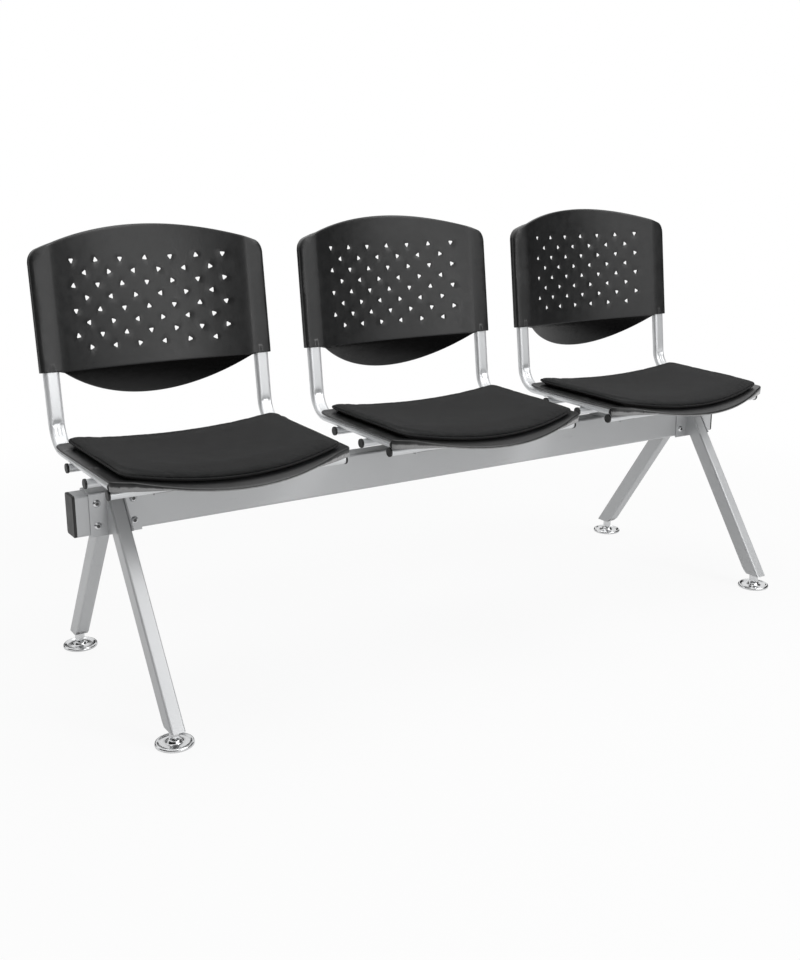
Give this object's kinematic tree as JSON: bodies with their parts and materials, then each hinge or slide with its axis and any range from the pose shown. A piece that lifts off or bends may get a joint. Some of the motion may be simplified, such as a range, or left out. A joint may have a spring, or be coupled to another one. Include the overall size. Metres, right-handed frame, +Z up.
{
  "type": "waiting_room_chair",
  "caption": "Waiting room bench: black plastic seats with grey pads and perforated backs on one steel beam with splayed legs and levelling glides",
  "frame": {"origin": "on the floor under the middle of the beam", "axes": "X runs along the beam, the sitters face -Y, Z is up"},
  "size_m": [1.576, 0.568, 0.8405],
  "materials": {
    "grey_paint": "silver grey powder coat, semi matt",
    "frame_paint": "light silver powder coat, satin",
    "chrome": "bright chrome",
    "bright_steel": "zinc plated, bright",
    "plain_steel": "machined",
    "shell_plastic": "black moulded plastic, fine grain",
    "cap_plastic": "black moulded plastic",
    "pad_cloth": "charcoal upholstery cloth",
    "board_wood": "bent plywood"
  },
  "bodies": {
    "bench": {"beam_tube": "grey_paint", "beam_end_cap_left": "cap_plastic", "leg_bracket_left": "grey_paint", "front_leg_left": "grey_paint", "rear_leg_left": "grey_paint", "beam_end_cap_right": "cap_plastic", "leg_bracket_right": "grey_paint", "front_leg_right": "grey_paint", "rear_leg_right": "grey_paint", "leg_inserts": "plain_steel", "bracket_bolts": "bright_steel", "bracket_nuts": "bright_steel", "channel_bolts": "bright_steel", "beam_rivet_nuts": "bright_steel", "rail_plugs": "cap_plastic", "seat_screws": "bright_steel", "pad_screws": "bright_steel", "back_screws": "bright_steel", "side_frame_left_1": "frame_paint", "side_frame_right_1": "frame_paint", "cross_tubes_1": "frame_paint", "front_tube_1": "frame_paint", "tube_caps_1": "cap_plastic", "seat_channels_1": "grey_paint", "seat_shell_1": "shell_plastic", "pad_board_1": "board_wood", "seat_pad_1": "pad_cloth", "back_shell_1": "shell_plastic", "side_frame_left_2": "frame_paint", "side_frame_right_2": "frame_paint", "cross_tubes_2": "frame_paint", "front_tube_2": "frame_paint", "tube_caps_2": "cap_plastic", "seat_channels_2": "grey_paint", "seat_shell_2": "shell_plastic", "pad_board_2": "board_wood", "seat_pad_2": "pad_cloth", "back_shell_2": "shell_plastic", "side_frame_left_3": "frame_paint", "side_frame_right_3": "frame_paint", "cross_tubes_3": "frame_paint", "front_tube_3": "frame_paint", "tube_caps_3": "cap_plastic", "seat_channels_3": "grey_paint", "seat_shell_3": "shell_plastic", "pad_board_3": "board_wood", "seat_pad_3": "pad_cloth", "back_shell_3": "shell_plastic"},
    "stem_front_left": {"glide_stem_front_left": "bright_steel"},
    "disc_front_left": {"glide_disc_front_left": "chrome"},
    "stem_front_right": {"glide_stem_front_right": "bright_steel"},
    "disc_front_right": {"glide_disc_front_right": "chrome"},
    "stem_rear_left": {"glide_stem_rear_left": "bright_steel"},
    "disc_rear_left": {"glide_disc_rear_left": "chrome"},
    "stem_rear_right": {"glide_stem_rear_right": "bright_steel"},
    "disc_rear_right": {"glide_disc_rear_right": "chrome"}
  },
  "joints": [
    {"name": "level_front_left", "type": "slide", "parent": "bench", "child": "stem_front_left", "axis": [0, 0, -1], "range_m": [0, 0.012]},
    {"name": "swivel_front_left", "type": "hinge", "parent": "stem_front_left", "child": "disc_front_left", "pos_m": [-0.7125, -0.25, 0.005], "axis": [0, 0, 1], "continuous": true},
    {"name": "level_front_right", "type": "slide", "parent": "bench", "child": "stem_front_right", "axis": [0, 0, -1], "range_m": [0, 0.012]},
    {"name": "swivel_front_right", "type": "hinge", "parent": "stem_front_right", "child": "disc_front_right", "pos_m": [0.7125, -0.25, 0.005], "axis": [0, 0, 1], "continuous": true},
    {"name": "level_rear_left", "type": "slide", "parent": "bench", "child": "stem_rear_left", "axis": [0, 0, -1], "range_m": [0, 0.012]},
    {"name": "swivel_rear_left", "type": "hinge", "parent": "stem_rear_left", "child": "disc_rear_left", "pos_m": [-0.7125, 0.25, 0.005], "axis": [0, 0, 1], "continuous": true},
    {"name": "level_rear_right", "type": "slide", "parent": "bench", "child": "stem_rear_right", "axis": [0, 0, -1], "range_m": [0, 0.012]},
    {"name": "swivel_rear_right", "type": "hinge", "parent": "stem_rear_right", "child": "disc_rear_right", "pos_m": [0.7125, 0.25, 0.005], "axis": [0, 0, 1], "continuous": true}
  ]
}
